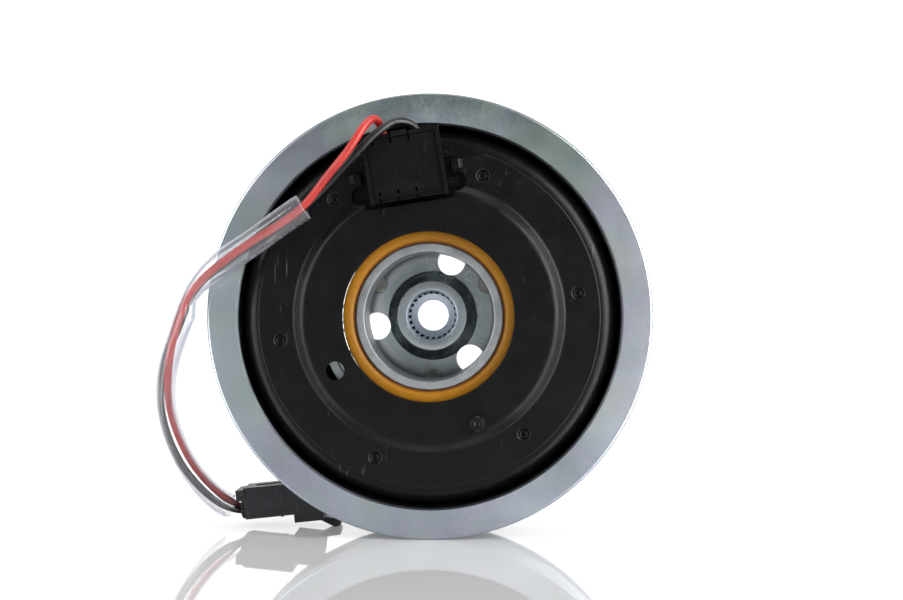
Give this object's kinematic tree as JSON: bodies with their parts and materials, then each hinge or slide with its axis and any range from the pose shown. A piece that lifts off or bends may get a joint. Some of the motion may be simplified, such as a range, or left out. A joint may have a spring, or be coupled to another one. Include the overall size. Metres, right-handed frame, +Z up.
{
  "type": "electromagnetic clutch",
  "caption": "Electromagnetic clutch for a belt-driven compressor: ribbed pulley on a bearing, wired ring coil, splined hub and a spring-mounted armature.",
  "frame": {"origin": "on the clutch axis, in the rear face of the mounting plate, which seats on the compressor", "axes": "+Y along the clutch axis from the coil towards the armature, +Z up, +X to the right seen from the coil"},
  "size_m": [0.137, 0.0506, 0.12],
  "materials": {
    "black_ecoat": "satin",
    "bobbin_nylon": "matte",
    "copper_wire": "gloss",
    "potting_resin": "gloss",
    "box_nylon": "matte",
    "terminal_brass": "satin",
    "red_insulation": "satin",
    "black_insulation": "satin",
    "clear_pvc": "gloss",
    "connector_nylon": "matte",
    "seal_silicone": "matte",
    "zinc_steel": "satin",
    "bearing_steel": "gloss",
    "amber_rubber": "satin",
    "ball_steel": "gloss",
    "cage_nylon": "matte",
    "hub_steel": "satin",
    "spring_steel": "satin",
    "rivet_steel": "satin",
    "stop_rubber": "matte",
    "armature_steel": "satin"
  },
  "bodies": {
    "stator": {"mounting_plate": "black_ecoat", "locating_pin": "black_ecoat", "coil_housing": "black_ecoat", "coil_bobbin": "bobbin_nylon", "coil_winding": "copper_wire", "coil_potting": "potting_resin", "terminal_box": "box_nylon", "terminal_box_lid": "box_nylon", "coil_terminals": "terminal_brass", "lead_red": "red_insulation", "lead_black": "black_insulation", "clear_sleeve": "clear_pvc", "connector_housing": "connector_nylon", "connector_contacts": "terminal_brass", "connector_seals": "seal_silicone", "bearing_inner_race": "bearing_steel"},
    "pulley": {"pulley_rotor": "zinc_steel", "bearing_outer_race": "bearing_steel", "bearing_seal_rear": "amber_rubber", "bearing_seal_front": "amber_rubber"},
    "ball_set": {"bearing_balls_rear": "ball_steel", "bearing_balls_front": "ball_steel", "bearing_cage_rear": "cage_nylon", "bearing_cage_front": "cage_nylon"},
    "hub": {"hub": "hub_steel", "leaf_springs": "spring_steel", "stop_plate": "zinc_steel", "hub_rivets": "rivet_steel", "rubber_stops": "stop_rubber"},
    "armature": {"armature_plate": "armature_steel", "armature_rivets": "rivet_steel"}
  },
  "joints": [
    {"name": "pulley_spin", "type": "hinge", "parent": "stator", "child": "pulley", "pos_m": [0, 0, 0], "axis": [0, 1, 0], "continuous": true},
    {"name": "ball_spin", "type": "hinge", "parent": "stator", "child": "ball_set", "pos_m": [0, 0, 0], "axis": [0, 1, 0], "continuous": true},
    {"name": "hub_spin", "type": "hinge", "parent": "stator", "child": "hub", "pos_m": [0, 0, 0], "axis": [0, 1, 0], "continuous": true},
    {"name": "armature_slide", "type": "slide", "parent": "hub", "child": "armature", "axis": [0, -1, 0], "range_m": [0, 0.00049], "deforming": ["leaf_springs"]}
  ],
  "couplings": [
    {"joint": "ball_spin", "follows": "pulley_spin", "ratio": 0.5618}
  ]
}
